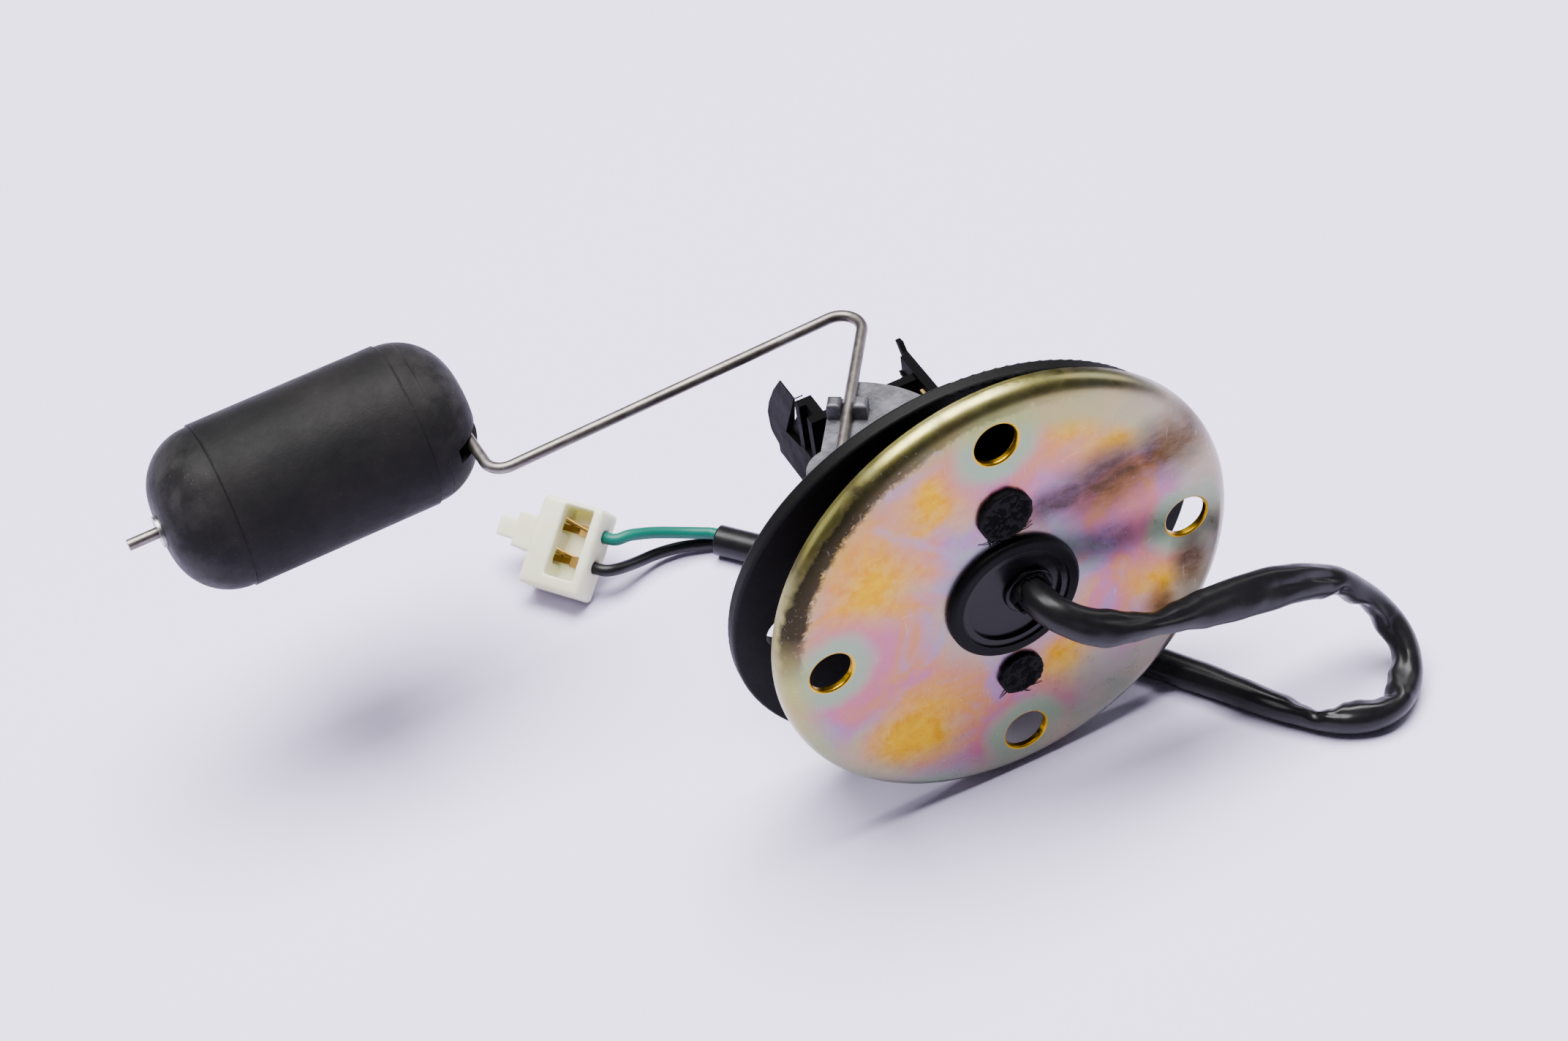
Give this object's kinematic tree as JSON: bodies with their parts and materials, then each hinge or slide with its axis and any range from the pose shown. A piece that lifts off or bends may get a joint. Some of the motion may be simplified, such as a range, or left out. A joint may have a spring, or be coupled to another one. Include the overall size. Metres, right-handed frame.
{
  "type": "fuel level sender",
  "caption": "Fuel tank level sender: round bolt-on flange, moulded sensor frame, swinging wire arm with a foam float, and a sleeved cable with a two way connector.",
  "frame": {"origin": "centre of the bolt circle on the flange's outer face", "axes": "+Y into the tank along the flange's axis, +Z along the arm's hinge, +X to the right seen from outside the tank; the float and the cable's connector lie toward -X"},
  "size_m": [0.1625, 0.1063, 0.0704],
  "materials": {
    "zinc_plate": "satin, yellow passivated zinc plating",
    "gasket_rubber": "matte",
    "grommet_rubber": "semi gloss",
    "black_acetal": "moulded, satin",
    "card_board": "printed board, satin",
    "carbon_ink": "printed, matte",
    "silver_ink": "printed, satin",
    "tab_brass": "rolled strip",
    "green_insulation": "extruded, satin",
    "black_insulation": "extruded, satin",
    "steel_wire": "drawn wire, satin",
    "cast_zinc": "die cast, satin",
    "spring_bronze": "rolled strip",
    "clip_steel": "pressed, satin",
    "float_rubber": "closed cell skin, satin",
    "nut_steel": "pressed, satin",
    "sleeve_vinyl": "smooth, glossy",
    "white_nylon": "moulded, satin",
    "terminal_brass": "stamped strip"
  },
  "bodies": {
    "sender": {"flange_plate": "zinc_plate", "flange_gasket": "gasket_rubber", "cable_grommet": "grommet_rubber", "sensor_frame": "black_acetal", "resistor_card": "card_board", "resistor_track": "carbon_ink", "return_track": "silver_ink", "signal_tab": "tab_brass", "ground_tab": "tab_brass", "inner_green_lead": "green_insulation", "inner_black_lead": "black_insulation", "cable_sleeve": "sleeve_vinyl", "green_lead": "green_insulation", "black_lead": "black_insulation", "connector_shell": "white_nylon", "green_terminal": "terminal_brass", "black_terminal": "terminal_brass"},
    "float_lever": {"rotor": "cast_zinc", "wiper_spring": "spring_bronze", "float_arm": "steel_wire", "pivot_clip": "clip_steel", "foam_float": "float_rubber", "float_push_nut": "nut_steel"}
  },
  "joints": [
    {"name": "float_swing", "type": "hinge", "parent": "sender", "child": "float_lever", "pos_m": [-0.013, 0.0244, 0.012], "axis": [0, 0, 1], "range_deg": [-42, 28]}
  ]
}
